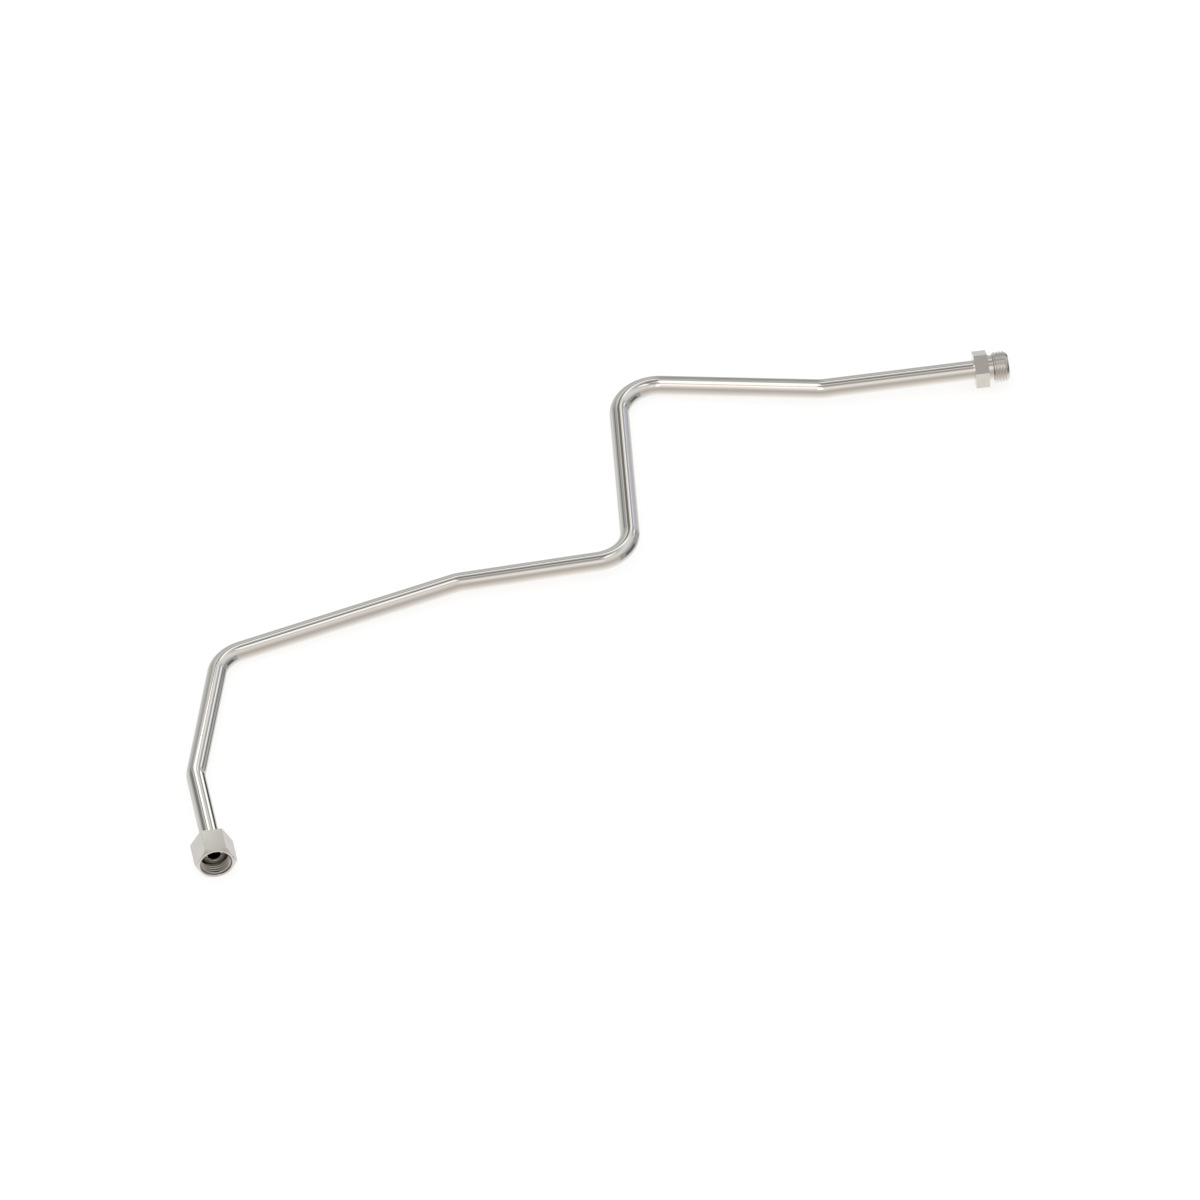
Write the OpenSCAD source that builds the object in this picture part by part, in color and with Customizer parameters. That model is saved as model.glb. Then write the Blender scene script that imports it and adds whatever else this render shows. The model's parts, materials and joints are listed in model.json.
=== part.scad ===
// Bent pressure tube with a loose union nut on one end and a brazed male connector on the other.
// All bends lie in one plane. The part lies as it comes to rest on a level surface: the nut,
// the outside of the fifth bend and a corner of the connector's hexagon touch it.

/* [Tube] */
// Outside diameter of the tube
tube_od = 10; // [9.6:0.1:10.4]
// Wall thickness of the tube
tube_wall = 1.5; // [1:0.1:2]
// Radius of every bend, to the middle of the tube
bend_radius = 20; // [16:0.5:24]

/* [Route of the tube] */
// Leg from the mouth of the nut to corner 1
leg_1 = 65.5; // [55:0.5:80]
// Turn at corner 1, plus to the left and minus to the right
turn_1 = -17.4; // [-25:0.2:-10]
// Leg from corner 1 to corner 2
leg_2 = 86; // [70:0.5:100]
// Turn at corner 2
turn_2 = -58.8; // [-65:0.2:-50]
// Leg from corner 2 to corner 3
leg_3 = 130; // [115:0.5:145]
// Turn at corner 3
turn_3 = -12.6; // [-20:0.2:-6]
// Leg from corner 3 to corner 4
leg_4 = 90; // [75:0.5:105]
// Turn at corner 4
turn_4 = 83.2; // [75:0.2:90]
// Leg from corner 4 to corner 5
leg_5 = 125.5; // [110:0.5:140]
// Turn at corner 5
turn_5 = -97.2; // [-105:0.2:-90]
// Leg from corner 5 to corner 6
leg_6 = 103.5; // [90:0.5:120]
// Turn at corner 6
turn_6 = 12; // [6:0.2:20]
// Leg from corner 6 to the end of the connector
leg_7 = 95.5; // [80:0.5:110]

/* [Thread] */
// Outside diameter of the metric thread in the nut and on the connector
thread_d = 16; // [15.8:0.1:16.4]
// Pitch of the thread
thread_pitch = 1.5; // [1.25:0.25:1.5]

/* [Union nut] */
// Width of the nut across its flats
nut_flats = 19; // [18.6:0.1:22]
// Length of the nut
nut_length = 15.5; // [14.5:0.1:18]
// Diameter of the flat ring round the mouth, where the chamfer starts
nut_land_d = 18; // [17.4:0.1:18.4]
// Diameter of the countersunk mouth
nut_mouth_d = 16.2; // [16:0.1:17]
// Depth at which the thread ends
thread_end = 6.9; // [6:0.1:7]
// Diameter of the relief groove behind the thread
relief_d = 16.2; // [16:0.1:16.6]
// Depth at which the 45 degree shoulder seat starts
seat_depth = 9.4; // [9.2:0.1:10]
// Running clearance between the nut and the tube, on the radius
nut_play = 0.08; // [0.04:0.01:0.1]

/* [Sealing sleeve] */
// Depth of the sleeve's face, flush with the end of the tube, below the mouth of the nut
face_depth = 7.3; // [7.2:0.1:7.6]
// Diameter of the face
face_d = 12.7; // [12.2:0.1:13]
// Diameter of the collar that the nut pulls on
collar_d = 13.6; // [13.4:0.1:13.9]
// Play between the collar's shoulder and the seat in the nut
shoulder_play = 0.3; // [0.2:0.05:0.5]

/* [Male connector] */
// Width of the connector's hexagon across its flats
hex_flats = 17; // [16.4:0.1:19]
// Length of the hexagon
hex_length = 7; // [6:0.1:8]
// Diameter of the neck between the hexagon and the thread
neck_d = 13.2; // [13:0.1:14]
// Length of the neck
neck_length = 2.4; // [1.5:0.1:3]
// Length of the threaded stud
stud_length = 8; // [7:0.1:10]
// Depth to which the tube is brazed into the connector
braze_depth = 6; // [4:0.1:7]
// Diameter of the cone seat at the open end
cone_d = 12.3; // [11.9:0.1:12.5]
// Depth of the stop for the next tube
stop_depth = 7; // [6.4:0.1:7.2]

/* [Place] */
// Heading of the first leg in the plane of the tube, measured from the X axis
first_heading = 99.2; // [90:0.2:110]
// Distance of the nut's mouth from the middle of the footprint, along X
mouth_x = -192.9; // [-220:0.1:-160]
// Distance of the nut's mouth from the middle of the footprint, along Y
mouth_y = -177.9; // [-210:0.1:-150]

/* [Hidden] */
$fn = 96;
legs = [leg_1, leg_2, leg_3, leg_4, leg_5, leg_6, leg_7];
turns = [turn_1, turn_2, turn_3, turn_4, turn_5, turn_6];
last = len(legs) - 1;
// Extra length by which a cutting shape runs past the face that it opens
past = 1;
// The bends reach this far into the straight runs, and are slimmer by a hair so that they stay inside
lap = 0.1;
hair = 0.002;
tube_id = tube_od - 2 * tube_wall;
// Basic profile of a metric thread: its depth in the nut is 0.5413 of the pitch on each side
thread_minor_d = thread_d - 2 * 0.5413 * thread_pitch;
nut_bore_d = tube_od + 2 * nut_play;
// Diameter of the back face of the nut inside its small chamfer
nut_back_d = 20.8;
// Slope of the chamfers on a hexagon's corners
hex_chamfer = 30;
// Diameters of the two end faces of the connector's hexagon inside its light chamfers
hex_land_d = 19.2;
edge_break = 0.3;
// Half angle of the sealing cones
cone_half_angle = 12;
sleeve_tail_d = tube_od + 0.8;
// The cylinder behind the cone seat takes the next tube with a little room
next_tube_d = tube_od + 0.1;
// Depth of the chamfers at the two ends of the stud
stud_chamfer = 1;
stud_start = hex_length + neck_length;
connector_length = stud_start + stud_length;

// Route: headings of the legs and corners where they meet, in the plane of the tube
function heading(i) = i == 0 ? first_heading : heading(i - 1) + turns[i - 1];
function along(angle) = [cos(angle), sin(angle), 0];
function corner(i) = i == 0 ? [0, 0, 0] : corner(i - 1) + legs[i - 1] * along(heading(i - 1));
// Distance from a corner to either end of its bend, and none at the two ends of the route
function setback(i) = i == 0 || i > last ? 0 : bend_radius * tan(abs(turns[i - 1]) / 2);
function straight(i) = legs[i] - setback(i) - setback(i + 1);
// Middle of the tube halfway round a bend
function bend_middle(i) =
    corner(i) + bend_radius * (1 / cos(turns[i - 1] / 2) - 1)
    * sign(turns[i - 1]) * along(heading(i) - turns[i - 1] / 2 + 90);

// Feet: the three points that touch the surface, in the plane of the tube
hex_corners = hex_flats / cos(30);
nut_foot = nut_length * along(heading(0)) - [0, 0, nut_flats / 2];
hex_foot = corner(last + 1) - connector_length * along(heading(last)) - [0, 0, hex_corners / 2];
bend_foot = bend_middle(5) - [0, 0, tube_od / 2];
// Upward direction of the surface through the feet, and the turn that makes it vertical
surface = cross(hex_foot - nut_foot, bend_foot - nut_foot);
upward = surface / norm(surface);
lean_axis = cross(upward, [0, 0, 1]);
lean = acos(upward.z);
lift = -upward * nut_foot;
// Turn of the loose nut on the tube that lays its lower flat level
nut_roll = -atan2(upward * along(first_heading + 90), upward.z);

// Lays the plane of the tube on its three feet and looks along the first leg:
// X points to the left, Y upwards and Z along the tube, with the mouth of the nut at zero
module laid() {
    translate([mouth_x, mouth_y, lift])
        rotate(a = lean, v = lean_axis)
            rotate([90, 0, first_heading + 90])
                children();
}

// Moves from the start of one straight run to the start of the next, round the bend between them
module next_leg(i) {
    turn = turns[i];
    centre_x = sign(turn) * bend_radius;
    translate([centre_x, 0, straight(i)])
        rotate([0, turn, 0])
            translate([-centre_x, 0, 0])
                children();
}

module on_leg(i) {
    if (i == 0) {
        children();
    } else {
        on_leg(i - 1)
            next_leg(i - 1)
                children();
    }
}

// Bend from the end of straight run i
module bend(i, d) {
    turn = turns[i];
    lap_angle = lap / bend_radius * 180 / PI;
    translate([sign(turn) * bend_radius, 0, straight(i)])
        rotate([90, 0, turn > 0 ? 180 : 0])
            rotate([0, 0, -lap_angle])
                rotate_extrude(angle = abs(turn) + 2 * lap_angle)
                    translate([bend_radius, 0])
                        circle(r = d / 2 - hair);
}

// Round bar of diameter d along the route, from straight run i on.
// It starts and ends where the tube does, or longer by extra.
module bar(d, extra, i = 0) {
    start = i == 0 ? face_depth - extra : 0;
    end = straight(i) + (i == last ? braze_depth - connector_length + extra : 0);
    translate([0, 0, start])
        cylinder(d = d, h = end - start);
    if (i < last) {
        bend(i, d);
        next_leg(i)
            bar(d, extra, i + 1);
    }
}

// Hexagon along Z whose corners are cut by cones that start at a land on each end face
module chamfered_hexagon(flats, length, land_1, land_2) {
    corners = flats / cos(30);
    reach = corners / 2 + past;
    intersection() {
        cylinder(d = corners, h = length, $fn = 6);
        rotate_extrude()
            polygon([
                [0, 0],
                [land_1 / 2, 0],
                [reach, (reach - land_1 / 2) * tan(hex_chamfer)],
                [reach, length - (reach - land_2 / 2) * tan(hex_chamfer)],
                [land_2 / 2, length],
                [0, length]
            ]);
    }
}

// Drawn steel tube, cut square at both ends
module tube() {
    color("gainsboro")
        laid()
            difference() {
                bar(tube_od, 0);
                bar(tube_id, past);
            }
}

// Ring brazed on the end of the tube, with a sealing cone in front and a shoulder for the nut behind
module sealing_sleeve() {
    tube_r = tube_od / 2;
    collar_r = collar_d / 2;
    tail_r = sleeve_tail_d / 2;
    cone_start = face_depth + edge_break;
    cone_end = cone_start + (collar_d - face_d) / 2 / tan(cone_half_angle);
    shoulder_on_axis = seat_depth + relief_d / 2 - shoulder_play;
    color("silver")
        laid()
            rotate_extrude()
                polygon([
                    [tube_r, face_depth],
                    [face_d / 2 - edge_break, face_depth],
                    [face_d / 2, cone_start],
                    [collar_r, cone_end],
                    [collar_r, shoulder_on_axis - collar_r],
                    [tail_r, shoulder_on_axis - tail_r],
                    [tube_r, shoulder_on_axis - tail_r]
                ]);
}

// Loose nut that turns on the tube, pulls on the sleeve's shoulder and lies on one of its flats
module union_nut() {
    mouth_r = nut_mouth_d / 2;
    minor_r = thread_minor_d / 2;
    relief_r = relief_d / 2;
    bore_r = nut_bore_d / 2;
    color("lightgray")
        laid()
            difference() {
                rotate([0, 0, nut_roll])
                    chamfered_hexagon(nut_flats, nut_length, nut_land_d, nut_back_d);
                rotate_extrude()
                    polygon([
                        [0, -past],
                        [mouth_r + past, -past],
                        [minor_r, mouth_r - minor_r],
                        [minor_r, thread_end],
                        [relief_r, thread_end + relief_r - minor_r],
                        [relief_r, seat_depth],
                        [bore_r, seat_depth + relief_r - bore_r],
                        [bore_r, nut_length + past],
                        [0, nut_length + past]
                    ]);
            }
}

// Turned connector brazed on the far end of the tube: hexagon with a corner downwards,
// neck, threaded stud and, inside its open end, a cone seat and a stop for the next tube
module male_connector() {
    tube_r = tube_od / 2;
    flow_r = tube_id / 2;
    neck_r = neck_d / 2;
    stud_r = thread_d / 2;
    next_r = next_tube_d / 2;
    stop = connector_length - stop_depth;
    cone_slope = tan(cone_half_angle);
    cone_floor = connector_length - (cone_d / 2 - next_r) / cone_slope;
    color("lightgray")
        laid()
            on_leg(last)
                translate([0, 0, straight(last) - connector_length])
                    difference() {
                        union() {
                            rotate([0, 0, 30])
                                chamfered_hexagon(hex_flats, hex_length, hex_land_d, hex_land_d);
                            rotate_extrude()
                                polygon([
                                    [0, hex_length - past],
                                    [neck_r, hex_length - past],
                                    [neck_r, stud_start],
                                    [stud_r - stud_chamfer, stud_start],
                                    [stud_r, stud_start + stud_chamfer],
                                    [stud_r, connector_length - stud_chamfer],
                                    [stud_r - stud_chamfer, connector_length],
                                    [0, connector_length]
                                ]);
                        }
                        rotate_extrude()
                            polygon([
                                [0, -past],
                                [tube_r, -past],
                                [tube_r, braze_depth],
                                [flow_r, braze_depth],
                                [flow_r, stop],
                                [next_r, stop],
                                [next_r, cone_floor],
                                [cone_d / 2 + past * cone_slope, connector_length + past],
                                [0, connector_length + past]
                            ]);
                    }
}

tube();
sealing_sleeve();
union_nut();
male_connector();
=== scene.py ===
import json
import math

import bmesh
import bpy
from mathutils import Matrix, Vector


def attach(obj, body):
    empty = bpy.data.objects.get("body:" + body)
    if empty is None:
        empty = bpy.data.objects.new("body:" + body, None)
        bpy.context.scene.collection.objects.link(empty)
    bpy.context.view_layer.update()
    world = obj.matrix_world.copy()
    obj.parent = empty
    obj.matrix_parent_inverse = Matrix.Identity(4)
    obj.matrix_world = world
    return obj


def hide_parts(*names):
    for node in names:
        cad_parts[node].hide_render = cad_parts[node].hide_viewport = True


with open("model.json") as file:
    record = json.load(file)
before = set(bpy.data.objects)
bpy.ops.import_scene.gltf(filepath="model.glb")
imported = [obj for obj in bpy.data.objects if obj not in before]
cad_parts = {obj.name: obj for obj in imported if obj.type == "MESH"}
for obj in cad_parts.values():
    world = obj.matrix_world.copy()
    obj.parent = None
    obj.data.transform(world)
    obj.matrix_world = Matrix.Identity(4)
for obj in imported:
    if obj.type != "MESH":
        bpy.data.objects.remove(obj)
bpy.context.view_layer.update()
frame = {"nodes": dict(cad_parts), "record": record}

# Bent tube
# One length of drawn steel tube, cut square and bent six times in one plane over the same former.
# It was polished along its length and bright plated after bending.
mm = 0.001
tube_radius = 5 * mm
tube_wall = 1.5 * mm
bend_radius = 20 * mm
leg_lengths = [leg * mm for leg in (65.5, 86, 130, 90, 125.5, 103.5, 95.5)]
turns_to_left = [math.radians(turn) for turn in (-17.4, -58.8, -12.6, 83.2, -97.2, 12)]
sleeve_face_depth = 7.3 * mm
connector_length = 17.4 * mm
braze_depth = 6 * mm

mounts = {mount["name"]: mount for mount in frame["record"]["mounts"]}
nut_thread = mounts["union_nut_thread"]
connector_thread = mounts["connector_thread"]
first_leg = -Vector(nut_thread["axis"]).normalized()
last_leg = Vector(connector_thread["axis"]).normalized()
tube_up = last_leg.cross(first_leg).normalized()

# The nut's thread fills the depth between its countersink and its relief groove
nut_mouth_radius = 8.1 * mm
nut_crest_radius = nut_thread["dims"]["r_mm"] * mm
nut_countersink = nut_mouth_radius - nut_crest_radius
nut_thread_end = nut_countersink + nut_thread["dims"]["length_mm"] * mm
nut_mouth = Vector(nut_thread["pos_m"]) - first_leg * (nut_countersink + nut_thread_end) / 2

# Corners of the route, from the mouth of the nut to the open end of the connector
route = [nut_mouth]
heading = first_leg.copy()
for leg, turn in zip(leg_lengths, turns_to_left + [0]):
    route.append(route[-1] + heading * leg)
    heading = Matrix.Rotation(turn, 3, tube_up) @ heading
connector_end = route[-1].copy()
route[0] = nut_mouth + first_leg * sleeve_face_depth
route[-1] = connector_end - last_leg * (connector_length - braze_depth)


def add_node(tree, kind, inputs=None, **settings):
    """Adds a node with its settings, and links or sets its inputs by name or by number."""
    node = tree.nodes.new(kind)
    for name, value in settings.items():
        setattr(node, name, value)
    for key, value in (inputs or {}).items():
        if isinstance(value, bpy.types.NodeSocket):
            tree.links.new(value, node.inputs[key])
        else:
            node.inputs[key].default_value = value
    return node


def linear(hex_colour):
    """An sRGB colour such as #D8D4CC as linear red, green, blue and alpha."""
    shares = [int(hex_colour[i:i + 2], 16) / 255 for i in (1, 3, 5)]
    return [s / 12.92 if s <= 0.04045 else ((s + 0.055) / 1.055) ** 2.4 for s in shares] + [1]


# Bright nickel on steel that was polished along the tube: a warm mirror with faint drawn lines.
# The lines are really about 0.05 mm apart, and are drawn ten times as coarse so that they show.
polished_tube = bpy.data.materials.new("bright_nickel_polished_lengthways")
polished_tube.use_nodes = True
shading = polished_tube.node_tree
straight = add_node(shading, "ShaderNodeAttribute", attribute_name="straight_tube")
line_width = 0.5 * mm
line_length = 60 * mm
stretch = add_node(shading, "ShaderNodeMapping", {
    "Vector": straight.outputs["Vector"],
    "Scale": (1 / line_width, 1 / line_width, 1 / line_length),
})
drawn_lines = add_node(shading, "ShaderNodeTexNoise", {
    "Vector": stretch.outputs["Vector"], "Scale": 1.0, "Detail": 3.0, "Roughness": 0.6,
})
cloud_size = 18 * mm
handling = add_node(shading, "ShaderNodeTexNoise", {
    "Vector": straight.outputs["Vector"], "Scale": 1 / cloud_size, "Detail": 4.0, "Roughness": 0.55,
})
tint = add_node(shading, "ShaderNodeMix", {
    "Factor": handling.outputs["Fac"], 6: linear("#DDDBD7"), 7: linear("#D6D3CE"),
}, data_type="RGBA")
polish = add_node(shading, "ShaderNodeMapRange", {
    "Value": drawn_lines.outputs["Fac"], "From Min": 0.3, "From Max": 0.7, "To Min": 0.03, "To Max": 0.07,
})
relief = add_node(shading, "ShaderNodeBump", {
    "Height": drawn_lines.outputs["Fac"], "Strength": 0.05, "Distance": 0.01 * mm,
})
shader = shading.nodes["Principled BSDF"]
shader.inputs["Metallic"].default_value = 1.0
shading.links.new(tint.outputs[2], shader.inputs["Base Color"])
shading.links.new(polish.outputs["Result"], shader.inputs["Roughness"])
shading.links.new(relief.outputs["Normal"], shader.inputs["Normal"])

# The bending: corners get the former's radius, and a ring of points is drawn along the route.
# Each point also keeps its place on the straight tube, which the polish lines follow.
bending = bpy.data.node_groups.new("bend_tube_over_former", "GeometryNodeTree")
bending.interface.new_socket("Route", in_out="INPUT", socket_type="NodeSocketGeometry")
bending_inputs = {}
for name, kind in (
    ("Bend radius", "NodeSocketFloat"),
    ("Tube radius", "NodeSocketFloat"),
    ("Points per bend", "NodeSocketInt"),
    ("Points around", "NodeSocketInt"),
    ("Finish", "NodeSocketMaterial"),
):
    bending_inputs[name] = bending.interface.new_socket(name, in_out="INPUT", socket_type=kind).identifier
bending.interface.new_socket("Tube", in_out="OUTPUT", socket_type="NodeSocketGeometry")
given = add_node(bending, "NodeGroupInput").outputs
bent_route = add_node(bending, "GeometryNodeFilletCurve", {
    "Curve": given["Route"], "Radius": given["Bend radius"], "Count": given["Points per bend"],
}, mode="POLY")
along_route = add_node(bending, "GeometryNodeSplineParameter")
keep_length = add_node(bending, "GeometryNodeCaptureAttribute")
keep_length.capture_items.new("FLOAT", "Length")
bending.links.new(bent_route.outputs["Curve"], keep_length.inputs["Geometry"])
bending.links.new(along_route.outputs["Length"], keep_length.inputs["Length"])
section = add_node(bending, "GeometryNodeCurvePrimitiveCircle", {
    "Resolution": given["Points around"], "Radius": given["Tube radius"],
}, mode="RADIUS")
section_place = add_node(bending, "GeometryNodeInputPosition")
keep_section = add_node(bending, "GeometryNodeCaptureAttribute")
keep_section.capture_items.new("VECTOR", "Place")
bending.links.new(section.outputs["Curve"], keep_section.inputs["Geometry"])
bending.links.new(section_place.outputs["Position"], keep_section.inputs["Place"])
drawn = add_node(bending, "GeometryNodeCurveToMesh", {
    "Curve": keep_length.outputs["Geometry"], "Profile Curve": keep_section.outputs["Geometry"],
})
lengthways = add_node(bending, "ShaderNodeCombineXYZ", {"Z": keep_length.outputs["Length"]})
straight_place = add_node(bending, "ShaderNodeVectorMath", {
    0: keep_section.outputs["Place"], 1: lengthways.outputs["Vector"],
}, operation="ADD")
stored = add_node(bending, "GeometryNodeStoreNamedAttribute", {
    "Geometry": drawn.outputs["Mesh"], "Name": "straight_tube", "Value": straight_place.outputs["Vector"],
}, data_type="FLOAT_VECTOR", domain="POINT")
realized = add_node(bending, "GeometryNodeRealizeInstances", {"Geometry": stored.outputs["Geometry"]})
finished = add_node(bending, "GeometryNodeSetMaterial", {
    "Geometry": realized.outputs["Geometry"], "Material": given["Finish"],
})
add_node(bending, "NodeGroupOutput", {"Tube": finished.outputs["Geometry"]})


def node_modifier(start, tree, values):
    """Puts a node tree on an object, with its inputs given by socket identifier."""
    modifier = start.modifiers.new(tree.name, "NODES")
    modifier.node_group = tree
    for identifier, value in values.items():
        modifier[identifier] = value


def plain_mesh(start, name):
    """The evaluated mesh of an object with modifiers. The object itself is removed."""
    evaluated = start.evaluated_get(bpy.context.evaluated_depsgraph_get())
    mesh = bpy.data.meshes.new_from_object(evaluated)
    mesh.name = name
    bpy.data.objects.remove(start)
    return mesh


def piece(name, mesh, sharp_angle):
    """A finished object for a mesh that is already in place, with smooth faces and crisp edges."""
    mesh.shade_smooth()
    mesh.set_sharp_from_angle(angle=sharp_angle)
    made = bpy.data.objects.new(name, mesh)
    bpy.context.scene.collection.objects.link(made)
    return made


points_per_bend = 40
points_around = 72
crisp_edge = math.radians(25)
route_curve = bpy.data.curves.new("tube_route", "CURVE")
route_curve.dimensions = "3D"
spline = route_curve.splines.new("POLY")
spline.points.add(len(route) - 1)
for point, corner in zip(spline.points, route):
    point.co = (*corner, 1)
tube_start = bpy.data.objects.new("tube_start", route_curve)
bpy.context.scene.collection.objects.link(tube_start)
node_modifier(tube_start, bending, {
    bending_inputs["Bend radius"]: bend_radius,
    bending_inputs["Tube radius"]: tube_radius,
    bending_inputs["Points per bend"]: points_per_bend,
    bending_inputs["Points around"]: points_around,
    bending_inputs["Finish"]: polished_tube,
})
outer_wall = plain_mesh(tube_start, "tube_outer_wall")
wall_start = bpy.data.objects.new("tube_wall", outer_wall)
bpy.context.scene.collection.objects.link(wall_start)
wall = wall_start.modifiers.new("wall", "SOLIDIFY")
wall.thickness = tube_wall
wall.offset = -1
wall.use_even_offset = True
bent_tube = piece("bent_tube", plain_mesh(wall_start, "bent_tube"), crisp_edge)
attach(bent_tube, "line")
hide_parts("tube")

# Sealing sleeve
# A small steel ring, turned and brazed flush on the end of the tube, inside the nut.
# Its face seals against the other fitting, and the nut pulls on its shoulder.

# Turned steel is greyer than the plating and keeps the fine rings of the lathe tool.
# The rings are really about 0.1 mm apart, and are drawn three times as coarse so that they show.
turned_steel = bpy.data.materials.new("turned_steel_with_tool_rings")
turned_steel.use_nodes = True
shading = turned_steel.node_tree
tool_feed = 0.3 * mm
# The wave texture draws one ring in this share of a unit
wave_ring_width = 0.314
# The rings lie round the tube's first leg
on_axis = add_node(shading, "ShaderNodeMapping", {
    "Vector": add_node(shading, "ShaderNodeTexCoord").outputs["Object"],
    "Location": nut_mouth,
    "Rotation": first_leg.to_track_quat("Z", "Y").to_euler(),
}, vector_type="TEXTURE")
tool_rings = add_node(shading, "ShaderNodeTexWave", {
    "Vector": on_axis.outputs["Vector"], "Scale": wave_ring_width / tool_feed, "Distortion": 0.0,
}, wave_type="RINGS", rings_direction="Z")
dulling = add_node(shading, "ShaderNodeMapRange", {
    "Value": tool_rings.outputs["Fac"], "To Min": 0.16, "To Max": 0.3,
})
tone = add_node(shading, "ShaderNodeMix", {
    "Factor": tool_rings.outputs["Fac"], 6: linear("#C4C1BB"), 7: linear("#A9A6A0"),
}, data_type="RGBA")
shader = shading.nodes["Principled BSDF"]
shader.inputs["Metallic"].default_value = 1.0
shading.links.new(tone.outputs[2], shader.inputs["Base Color"])
shading.links.new(dulling.outputs["Result"], shader.inputs["Roughness"])
sleeve = frame["nodes"]["sealing_sleeve"]
sleeve.data.materials.clear()
sleeve.data.materials.append(turned_steel)

# Union nut
# A hexagon nut turned from bar, loose on the tube behind the sleeve's shoulder and free to turn.
# Its mouth is countersunk, rounded at its edge and threaded. It is bright plated, but for the thread.
nut_length = 15.5 * mm
nut_half_flats = 9.5 * mm
nut_land_radius = 9 * mm
nut_back_radius = 10.4 * mm
nut_bore_radius = 5.08 * mm
relief_radius = 8.1 * mm
seat_depth = 9.4 * mm
edge_break = 0.15 * mm
chamfer_slope = math.tan(math.radians(30))
thread_pitch = 1.5 * mm
thread_major_radius = connector_thread["dims"]["r_mm"] * mm
nut_crest_share = 1 / 4
ring_points = 240

# Bright nickel on turned and milled steel: flat faces mirror softly, with a little tool grain.
# The grain is really about 0.02 mm, and is drawn coarser so that it shows.
plated_fitting = bpy.data.materials.new("bright_nickel_on_machined_steel")
plated_fitting.use_nodes = True
shading = plated_fitting.node_tree
grain_size = 0.25 * mm
cloud_size = 6 * mm
place = add_node(shading, "ShaderNodeTexCoord")
tool_grain = add_node(shading, "ShaderNodeTexNoise", {
    "Vector": place.outputs["Object"], "Scale": 1 / grain_size, "Detail": 2.0,
})
plating_clouds = add_node(shading, "ShaderNodeTexNoise", {
    "Vector": place.outputs["Object"], "Scale": 1 / cloud_size, "Detail": 3.0,
})
tint = add_node(shading, "ShaderNodeMix", {
    "Factor": plating_clouds.outputs["Fac"], 6: linear("#DDDBD6"), 7: linear("#D5D2CC"),
}, data_type="RGBA")
softness = add_node(shading, "ShaderNodeMapRange", {
    "Value": tool_grain.outputs["Fac"], "From Min": 0.3, "From Max": 0.7, "To Min": 0.15, "To Max": 0.19,
})
shader = shading.nodes["Principled BSDF"]
shader.inputs["Metallic"].default_value = 1.0
shading.links.new(tint.outputs[2], shader.inputs["Base Color"])
shading.links.new(softness.outputs["Result"], shader.inputs["Roughness"])

# Bare steel inside the nut: crests rubbed bright, and the groove darker towards its root, which is painted
# shade in the groove together with dark cutting oil left there
threaded_steel = bpy.data.materials.new("bare_steel_thread_oil_and_painted_shade")
threaded_steel.use_nodes = True
shading = threaded_steel.node_tree
groove = add_node(shading, "ShaderNodeAttribute", attribute_name="groove_share")
# The dark root colour is painted shade in the thread's groove, mixed with cutting oil
oil_and_painted_groove_shade = add_node(shading, "ShaderNodeMix", {
    "Factor": groove.outputs["Fac"], 6: linear("#D8D5CF"), 7: linear("#4A4845"),
}, data_type="RGBA")
shader = shading.nodes["Principled BSDF"]
shader.inputs["Metallic"].default_value = 1.0
shader.inputs["Roughness"].default_value = 0.3
shading.links.new(oil_and_painted_groove_shade.outputs[2], shader.inputs["Base Color"])

# The screw thread: a grid is rolled into a sleeve whose rows climb one pitch in each turn.
# Its profile runs from crest to root, and both ends run out into 45 degree cones.
# Radii inside a nut are given as negative, so that the smallest value is always the deepest cut.
threading = bpy.data.node_groups.new("cut_metric_thread", "GeometryNodeTree")
thread_inputs = {}
for name, kind in (
    ("Crest radius", "NodeSocketFloat"),
    ("Root radius", "NodeSocketFloat"),
    ("Crest edge", "NodeSocketFloat"),
    ("Root edge", "NodeSocketFloat"),
    ("Length", "NodeSocketFloat"),
    ("Turns", "NodeSocketFloat"),
    ("Start radius", "NodeSocketFloat"),
    ("End radius", "NodeSocketFloat"),
    ("Columns", "NodeSocketInt"),
    ("Rows", "NodeSocketInt"),
    ("Rolled turns", "NodeSocketFloat"),
    ("Finish", "NodeSocketMaterial"),
):
    thread_inputs[name] = threading.interface.new_socket(name, in_out="INPUT", socket_type=kind).identifier
threading.interface.new_socket("Thread", in_out="OUTPUT", socket_type="NodeSocketGeometry")
given = add_node(threading, "NodeGroupInput").outputs
sheet = add_node(threading, "GeometryNodeMeshGrid", {
    "Vertices X": given["Columns"], "Vertices Y": given["Rows"],
})
sheet_share = add_node(threading, "ShaderNodeSeparateXYZ", {"Vector": sheet.outputs["UV Map"]}).outputs
# Rows start one turn before the thread, so that every angle has a row at its very start
row_turn = add_node(threading, "ShaderNodeMath", {
    0: sheet_share["Y"], 1: given["Rolled turns"], 2: -1,
}, operation="MULTIPLY_ADD").outputs[0]
turn = add_node(threading, "ShaderNodeMath", {0: row_turn, 1: sheet_share["X"]}, operation="ADD").outputs[0]
height = add_node(threading, "ShaderNodeMapRange", {
    "Value": turn, "From Max": given["Turns"], "To Max": given["Length"],
}).outputs["Result"]
from_crest = add_node(threading, "ShaderNodeMath", {0: row_turn, 1: 0.5}, operation="PINGPONG").outputs[0]
groove_share = add_node(threading, "ShaderNodeMapRange", {
    "Value": from_crest, "From Min": given["Crest edge"], "From Max": given["Root edge"],
}).outputs["Result"]
profile = add_node(threading, "ShaderNodeMapRange", {
    "Value": groove_share, "To Min": given["Crest radius"], "To Max": given["Root radius"],
}).outputs["Result"]
to_end = add_node(threading, "ShaderNodeMath", {
    0: given["Length"], 1: height,
}, operation="SUBTRACT").outputs[0]
deepest = profile
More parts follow.
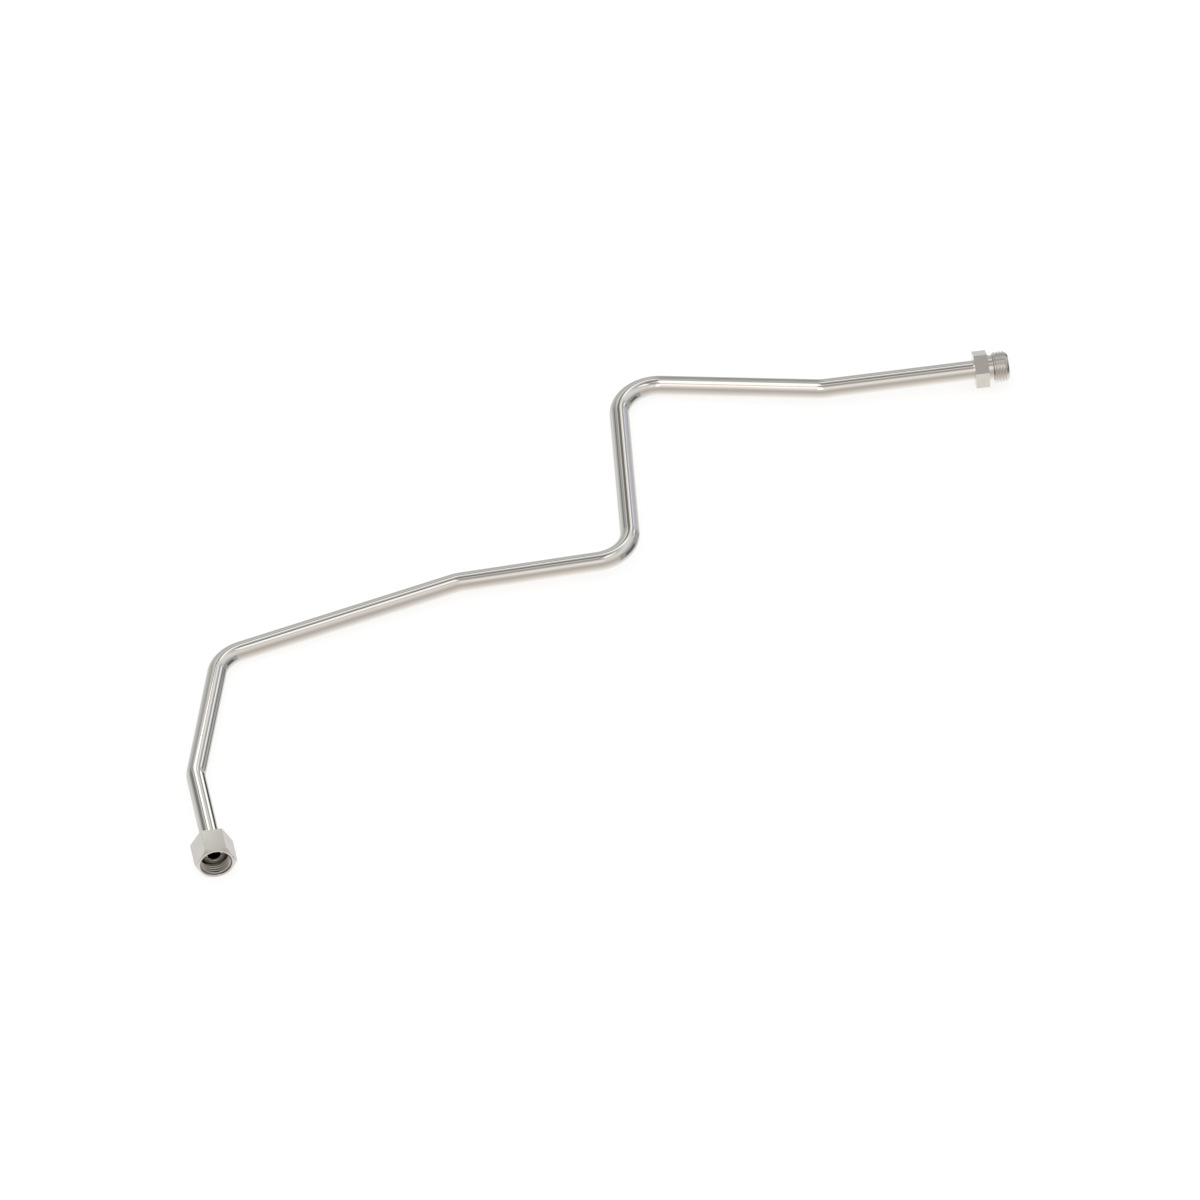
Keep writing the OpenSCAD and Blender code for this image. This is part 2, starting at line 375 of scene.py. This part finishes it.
for end, distance in ((given["Start radius"], height), (given["End radius"], to_end)):
    cone = add_node(threading, "ShaderNodeMath", {0: end, 1: distance}, operation="ADD").outputs[0]
    deepest = add_node(threading, "ShaderNodeMath", {0: deepest, 1: cone}, operation="MINIMUM").outputs[0]
angle = add_node(threading, "ShaderNodeMath", {0: sheet_share["X"], 1: math.tau}, operation="MULTIPLY")
rolled_place = add_node(threading, "ShaderNodeVectorRotate", {
    "Vector": add_node(threading, "ShaderNodeCombineXYZ", {"X": deepest, "Z": height}).outputs["Vector"],
    "Angle": angle.outputs[0],
}, rotation_type="Z_AXIS")
rolled = add_node(threading, "GeometryNodeSetPosition", {
    "Geometry": sheet.outputs["Mesh"], "Position": rolled_place.outputs["Vector"],
})
stored = add_node(threading, "GeometryNodeStoreNamedAttribute", {
    "Geometry": rolled.outputs["Geometry"], "Name": "groove_share", "Value": groove_share,
}, data_type="FLOAT", domain="POINT")
realized = add_node(threading, "GeometryNodeRealizeInstances", {"Geometry": stored.outputs["Geometry"]})
finished = add_node(threading, "GeometryNodeSetMaterial", {
    "Geometry": realized.outputs["Geometry"], "Material": given["Finish"],
})
add_node(threading, "NodeGroupOutput", {"Thread": finished.outputs["Geometry"]})
rows_per_pitch = 16
# One spare turn of rows before the thread and one after it
spare_turns = 2
flank_share = 5 / 16


def thread_mesh(name, crest, root, crest_share, length, start_radius, end_radius, finish):
    """The mesh of a right-hand thread that starts at the origin and runs up the Z axis."""
    start = bpy.data.objects.new(name, bpy.data.meshes.new(name))
    bpy.context.scene.collection.objects.link(start)
    turns = length / thread_pitch
    row_gaps = math.ceil((turns + spare_turns) * rows_per_pitch)
    node_modifier(start, threading, {
        thread_inputs["Crest radius"]: crest,
        thread_inputs["Root radius"]: root,
        thread_inputs["Crest edge"]: crest_share / 2,
        thread_inputs["Root edge"]: crest_share / 2 + flank_share,
        thread_inputs["Length"]: length,
        thread_inputs["Turns"]: turns,
        thread_inputs["Start radius"]: start_radius,
        thread_inputs["End radius"]: end_radius,
        thread_inputs["Columns"]: ring_points + 1,
        thread_inputs["Rows"]: row_gaps + 1,
        thread_inputs["Rolled turns"]: row_gaps / rows_per_pitch,
        thread_inputs["Finish"]: finish,
    })
    return plain_mesh(start, name)


ring_angles = [math.tau * i / ring_points for i in range(ring_points)]
# A hexagon's points stand close on both sides of its corners, so that only a fine edge is blunted
corner_blunting = math.radians(0.25)
hexagon_sides = 6
side_angle = math.tau / hexagon_sides
side_points = ring_points // hexagon_sides - 1
hexagon_angles = []
for corner in range(hexagon_sides):
    start = corner * side_angle
    reach = side_angle - 2 * corner_blunting
    hexagon_angles.append(start)
    hexagon_angles += [start + corner_blunting + reach * i / (side_points - 1) for i in range(side_points)]


def circle(radius, height):
    """Points of a plain ring at a height."""
    return [(radius * math.cos(angle), radius * math.sin(angle), height) for angle in ring_angles]


def hexagon_rings(half_flats, bottom, top, bottom_land, top_land):
    """The four rings of a hexagon bar's sides, with its corners cut by cones at both ends."""
    rings = [[], [], [], []]
    for angle in hexagon_angles:
        off_corner = abs((angle + side_angle / 2) % side_angle - side_angle / 2)
        off_corner = max(off_corner, corner_blunting)
        side = half_flats / math.cos(side_angle / 2 - off_corner)
        low_cut = max((side - bottom_land) * chamfer_slope, edge_break)
        high_cut = max((side - top_land) * chamfer_slope, edge_break)
        for ring, radius, height in zip(
            rings,
            (min(bottom_land, side - edge_break), side, side, min(top_land, side - edge_break)),
            (bottom, bottom + low_cut, top - high_cut, top),
        ):
            ring.append((radius * math.cos(angle), radius * math.sin(angle), height))
    return rings


weld_distance = 0.5e-6
thread_slot = 0
plated_slot = 1


def fitting_mesh(name, rings, thread, thread_start, place):
    """Joins turned rings and a thread into one closed mesh and puts it in its place."""
    work = bmesh.new()
    work.from_mesh(thread)
    for face in work.faces:
        face.material_index = thread_slot
    bmesh.ops.translate(work, verts=work.verts, vec=(0, 0, thread_start))
    rows = [[work.verts.new(point) for point in ring] for ring in rings]
    for near, far in zip(rows, rows[1:]):
        for i in range(ring_points):
            face = work.faces.new((near[i - 1], near[i], far[i], far[i - 1]))
            face.material_index = plated_slot
    bmesh.ops.remove_doubles(work, verts=work.verts, dist=weld_distance)
    bmesh.ops.dissolve_degenerate(work, edges=work.edges, dist=weld_distance)
    bmesh.ops.recalc_face_normals(work, faces=work.faces)
    work.transform(place)
    mesh = bpy.data.meshes.new(name)
    work.to_mesh(mesh)
    work.free()
    # The node tree puts its finish last, behind an empty slot
    mesh.materials.append(thread.materials[-1])
    mesh.materials.append(plated_fitting)
    return mesh


def stand(origin, along, corner):
    """The matrix that puts the Z axis along a fitting's axis and the X axis towards one hexagon corner."""
    across = along.cross(corner).normalized()
    turned = Matrix((across.cross(along), across, along)).transposed()
    return Matrix.Translation(origin) @ turned.to_4x4()


nut_inside_end = nut_thread_end + relief_radius - nut_crest_radius
# The edge of the countersink is rounded and plated
lip_radius = 0.45 * mm
lip_steps = 8
lip_rings = []
for step in range(lip_steps, -1, -1):
    lean = step / lip_steps * math.pi / 2
    outward = lip_radius * (1 - math.sin(lean))
    depth = lip_radius * (1 - math.cos(lean))
    lip_rings.append(circle(nut_mouth_radius + outward, depth))
inside_thread = thread_mesh(
    "nut_thread", -nut_crest_radius, -thread_major_radius, nut_crest_share,
    nut_inside_end - lip_radius, -nut_mouth_radius, -relief_radius, threaded_steel,
)
nut_rings = lip_rings + hexagon_rings(nut_half_flats, 0, nut_length, nut_land_radius, nut_back_radius)
nut_rings += [
    circle(nut_bore_radius + edge_break, nut_length),
    circle(nut_bore_radius, nut_length - edge_break),
    circle(nut_bore_radius, seat_depth + relief_radius - nut_bore_radius),
    circle(relief_radius, seat_depth),
    circle(relief_radius, nut_inside_end),
]
# The nut lies on a level flat, so one pair of its corners points to the sides
sideways = first_leg.cross(Vector((0, 0, 1))).normalized()
nut_place = stand(nut_mouth, first_leg, sideways)
union_nut = piece(
    "threaded_union_nut",
    fitting_mesh("threaded_union_nut", nut_rings, inside_thread, lip_radius, nut_place),
    crisp_edge,
)
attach(union_nut, "nut")
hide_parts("union_nut")

# Male connector
# A fitting turned from hexagon bar and brazed on the other end of the tube, with a corner downwards.
# It has a neck, a threaded stud and, in its open end, a cone seat and a stop for the next tube.
hex_half_flats = 8.5 * mm
hex_length = 7 * mm
hex_land_radius = 9.6 * mm
neck_radius = 6.6 * mm
stud_start = 9.4 * mm
stud_start_radius = 7 * mm
stud_end_radius = 6.35 * mm
# The rolled thread has narrow crests and a shallow, filled root
stud_crest_share = 3 / 16
stud_thread_depth = 0.45 * thread_pitch
cone_radius = 6.15 * mm
cone_half_angle = math.radians(12)
next_tube_radius = mounts["connector_tube_seat"]["dims"]["r_mm"] * mm
cone_depth = (cone_radius - next_tube_radius) / math.tan(cone_half_angle)
stop_depth = 7 * mm
flow_radius = tube_radius - tube_wall
outside_thread = thread_mesh(
    "connector_thread", thread_major_radius, thread_major_radius - stud_thread_depth, stud_crest_share,
    connector_length - stud_start, stud_start_radius, stud_end_radius, plated_fitting,
)
connector_rings = [
    circle(stud_start_radius, stud_start),
    circle(neck_radius, stud_start),
    circle(neck_radius, hex_length),
]
connector_rings += hexagon_rings(hex_half_flats, 0, hex_length, hex_land_radius, hex_land_radius)[::-1]
connector_rings += [
    circle(tube_radius, 0),
    circle(tube_radius, braze_depth),
    circle(flow_radius, braze_depth),
    circle(flow_radius, connector_length - stop_depth),
    circle(next_tube_radius, connector_length - stop_depth),
    circle(next_tube_radius, connector_length - cone_depth),
    circle(cone_radius, connector_length),
    circle(stud_end_radius, connector_length),
]
connector_place = stand(connector_end - last_leg * connector_length, last_leg, tube_up)
male_connector = piece(
    "threaded_male_connector",
    fitting_mesh("threaded_male_connector", connector_rings, outside_thread, stud_start, connector_place),
    crisp_edge,
)
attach(male_connector, "line")
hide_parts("male_connector")

# Floor
# A plain white sheet of paper that the part lies on, with its soft shadow.
# The polished metal mirrors the studio's pale lower half in its place.
floor_width = 12.0
paper_glow = 1.2
shadow_share = 0.35
white_paper = bpy.data.materials.new("matt_white_paper")
white_paper.use_nodes = True
shading = white_paper.node_tree
shading.nodes.remove(shading.nodes["Principled BSDF"])
seen = add_node(shading, "ShaderNodeLightPath").outputs
glow = add_node(shading, "ShaderNodeEmission", {"Color": linear("#FFFFFF"), "Strength": paper_glow})
matt = add_node(shading, "ShaderNodeBsdfDiffuse", {"Color": linear("#F2F2F2")})
pale = add_node(shading, "ShaderNodeMixShader", {
    0: shadow_share, 1: glow.outputs[0], 2: matt.outputs[0],
})
shown = add_node(shading, "ShaderNodeMixShader", {
    0: seen["Is Camera Ray"], 1: matt.outputs[0], 2: pale.outputs[0],
})
shading.links.new(shown.outputs[0], shading.nodes["Material Output"].inputs["Surface"])
work = bmesh.new()
bmesh.ops.create_grid(work, x_segments=1, y_segments=1, size=floor_width / 2)
floor_mesh = bpy.data.meshes.new("floor")
work.to_mesh(floor_mesh)
work.free()
floor_mesh.materials.append(white_paper)
floor = bpy.data.objects.new("floor", floor_mesh)
floor.visible_glossy = False
bpy.context.scene.collection.objects.link(floor)

# Studio light
# A pale round studio, bright below and dim at its horizon, with soft boxes and dark flags around it.
# Its tones are what the polished metal mirrors, so each panel draws one streak on the tube.
studio = bpy.data.worlds.new("pale_round_studio")
studio.use_nodes = True
bpy.context.scene.world = studio
sky = studio.node_tree
looking = add_node(sky, "ShaderNodeSeparateXYZ", {
    "Vector": add_node(sky, "ShaderNodeTexCoord").outputs["Generated"],
}).outputs
elevation = add_node(sky, "ShaderNodeMath", {0: looking["Z"]}, operation="ARCSINE").outputs[0]
azimuth = add_node(sky, "ShaderNodeMath", {
    0: looking["X"], 1: looking["Y"],
}, operation="ARCTAN2").outputs[0]
# Brightness of the studio against the height above its horizon in degrees
wall_tones = (
    (-90, 1.28), (-65, 1.12), (-45, 0.96), (-20, 0.76), (0, 0.62), (8, 0.57), (18, 0.66),
    (30, 0.78), (42, 0.9), (52, 0.98), (60, 0.78), (68, 0.54), (78, 0.38), (90, 0.46),
)
ramp = add_node(sky, "ShaderNodeValToRGB", {
    "Fac": add_node(sky, "ShaderNodeMapRange", {
        "Value": elevation, "From Min": -math.pi / 2, "From Max": math.pi / 2,
    }).outputs["Result"],
})
stops = ramp.color_ramp.elements
stops.remove(stops[0])
for height, tone in wall_tones:
    stop = stops.new((height + 90) / 180)
    stop.color = (tone, tone, tone, 1)
stops.remove(stops[-1])
light = ramp.outputs["Color"]
# Soft boxes and dark flags: middle and size in degrees, with azimuth 0 behind the part, and a colour
panels = (
    ("pale wall behind the camera", (170, 47), (44, 24), (1.06, 1.06, 1.06)),
    ("small box over the camera", (180, 46), (14, 16), (1.75, 1.78, 1.82)),
    ("box behind the camera", (-160, 58), (50, 18), (1.42, 1.42, 1.42)),
    ("box overhead", (-86, 79), (146, 20), (1.5, 1.5, 1.5)),
    ("flag overhead on the right", (22, 76), (62, 14), (0.26, 0.26, 0.25)),
    ("box high on the right", (95, 71), (70, 12), (1.35, 1.35, 1.33)),
    ("grey wall on the left", (-37, 21.5), (16, 25), (0.48, 0.48, 0.48)),
    ("flag on the left", (-50, 21), (17, 20), (0.27, 0.27, 0.27)),
    ("dim wall high at the back", (-14, 52), (20, 16), (0.5, 0.5, 0.5)),
    ("strip high at the back", (8, 50.5), (23, 7), (1.5, 1.5, 1.47)),
    ("low flag at the back", (6, 20), (17, 34), (0.38, 0.38, 0.38)),
    ("flag at the back", (-14, 41), (30, 7), (0.23, 0.22, 0.19)),
    ("grey wall at the back on the right", (30, 33), (30, 14), (0.53, 0.53, 0.52)),
    ("cool wall at the back on the right", (37, 15), (14, 26), (0.62, 0.65, 0.78)),
    ("small box at the back", (17.5, 39), (7, 7), (1.5, 1.48, 1.42)),
    ("strip at the back on the right", (31, 15), (7, 18), (1.6, 1.6, 1.6)),
    ("pale low wall on the left", (-64, -14), (40, 20), (0.87, 0.87, 0.87)),
    ("cool strip on the right", (43, 27), (8, 8), (1.3, 1.32, 1.48)),
    ("low flag at the back on the right", (31, -6), (13, 22), (0.03, 0.03, 0.03)),
    ("small flag on the right", (51, 11), (10, 9), (0.18, 0.2, 0.2)),
    ("low flag on the right", (50, -18), (12, 18), (0.34, 0.34, 0.34)),
    ("dim wall on the far right", (87, -4), (58, 54), (0.44, 0.44, 0.44)),
    ("flag on the far right", (87, -8), (30, 26), (0.16, 0.16, 0.16)),
)
soft_edge = math.radians(4)


def inside(value, middle, width):
    """1 within a soft-edged span of an angle, and 0 outside it."""
    past_middle = add_node(sky, "ShaderNodeMath", {0: value, 1: middle}, operation="SUBTRACT")
    off = add_node(sky, "ShaderNodeMath", {0: past_middle.outputs[0], 1: math.pi}, operation="PINGPONG")
    return add_node(sky, "ShaderNodeMapRange", {
        "Value": off.outputs[0],
        "From Min": (width - soft_edge) / 2,
        "From Max": (width + soft_edge) / 2,
        "To Min": 1.0,
        "To Max": 0.0,
    }, interpolation_type="SMOOTHSTEP").outputs["Result"]


for name, middle, size, colour in panels:
    share = add_node(sky, "ShaderNodeMath", {
        0: inside(azimuth, math.radians(middle[0]), math.radians(size[0])),
        1: inside(elevation, math.radians(middle[1]), math.radians(size[1])),
    }, operation="MULTIPLY")
    light = add_node(sky, "ShaderNodeMix", {
        "Factor": share.outputs[0], 6: light, 7: (*colour, 1),
    }, data_type="RGBA", label=name).outputs[2]
# The wall behind the camera is a little warmer than the rest
warm_span = math.radians(120)
warm_tint = (1.035, 0.99, 0.95, 1)
light = add_node(sky, "ShaderNodeMix", {
    "Factor": inside(azimuth, math.pi, warm_span), 6: light, 7: warm_tint,
}, data_type="RGBA", blend_type="MULTIPLY").outputs[2]
lit = sky.nodes["Background"]
sky.links.new(light, lit.inputs["Color"])
# Past the edge of the floor the camera itself meets plain white
white = add_node(sky, "ShaderNodeBackground", {"Color": linear("#FFFFFF"), "Strength": 1.0})
seen = add_node(sky, "ShaderNodeLightPath").outputs
shown = add_node(sky, "ShaderNodeMixShader", {
    0: seen["Is Camera Ray"], 1: lit.outputs[0], 2: white.outputs[0],
})
sky.links.new(shown.outputs[0], sky.nodes["World Output"].inputs["Surface"])
# The tones are even enough to be met by bounced rays alone, which is quicker than aiming at panels
studio.cycles.sampling_method = "NONE"

# A soft box hung close behind the end with the nut, so that only the first two legs mirror it
box_width = 0.15
box_height = 0.1
box_tone = 1.4
box_place = Vector((-0.28, 0.26, 0.345))
box_aim = Vector((-0.195, -0.07, 0))
box_lamp = bpy.data.lights.new("soft_box_near_the_nut", "AREA")
box_lamp.shape = "RECTANGLE"
box_lamp.size = box_width
box_lamp.size_y = box_height
box_lamp.energy = box_tone * math.pi * box_width * box_height
soft_box = bpy.data.objects.new("soft_box_near_the_nut", box_lamp)
soft_box.location = box_place
facing = box_aim - box_place
soft_box.rotation_euler = facing.to_track_quat("-Z", "Y").to_euler()
soft_box.visible_camera = False
bpy.context.scene.collection.objects.link(soft_box)

# Camera
# It looks down on the part without perspective, from the side where the nut opens.
# Its height above the floor and its scale are those of the photograph.
camera_height = math.radians(46)
photo_pixels = 1200
pixels_per_metre = 1980
aim = Vector((0.9, 7.4, 10.1)) * mm
camera_distance = 2.0
lens = bpy.data.cameras.new("camera")
lens.type = "ORTHO"
lens.ortho_scale = photo_pixels / pixels_per_metre
camera = bpy.data.objects.new("camera", lens)
back = Vector((0, -math.cos(camera_height), math.sin(camera_height)))
camera.location = aim + back * camera_distance
camera.rotation_euler = (math.pi / 2 - camera_height, 0, 0)
bpy.context.scene.collection.objects.link(camera)
bpy.context.scene.camera = camera
bpy.context.scene.view_settings.view_transform = "Standard"
